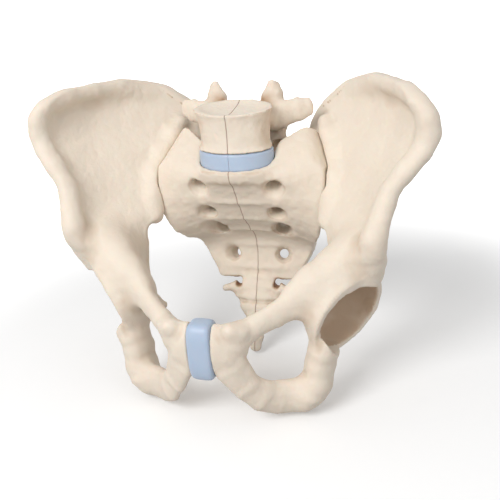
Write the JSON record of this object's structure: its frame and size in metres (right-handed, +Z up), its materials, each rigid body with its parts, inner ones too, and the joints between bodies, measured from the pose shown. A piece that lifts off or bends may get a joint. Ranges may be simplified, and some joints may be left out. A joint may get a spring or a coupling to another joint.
{
  "type": "anatomical pelvis model",
  "caption": "Female pelvis skeleton model with hip bones, sacrum, coccyx, fifth lumbar vertebra and blue cartilage discs, parted in the median plane and held by magnets.",
  "frame": {"origin": "on the table under the middle of the bounding box", "axes": "+X towards the subject's left, -Y to the front (pubic joint), +Z up from the table; the median plane is X = 0"},
  "size_m": [0.2712, 0.1664, 0.206],
  "materials": {
    "bone": "matt ivory plastic with a light tan wash in the hollows",
    "cartilage": "satin pale blue plastic",
    "magnet": "nickel plated"
  },
  "bodies": {
    "root": {"left_hip_bone": "bone", "left_sacrum_half": "bone", "left_lumbar_half": "bone", "left_disc_half": "cartilage", "left_sacrum_upper_magnet": "magnet", "left_sacrum_lower_magnet": "magnet", "left_lumbar_magnet": "magnet", "right_hip_bone": "bone", "right_sacrum_half": "bone", "right_lumbar_half": "bone", "right_disc_half": "cartilage", "right_sacrum_upper_magnet": "magnet", "right_sacrum_lower_magnet": "magnet", "right_lumbar_magnet": "magnet", "pubic_disc": "cartilage", "left_pubic_magnet": "magnet", "disc_magnet": "magnet"}
  },
  "joints": []
}
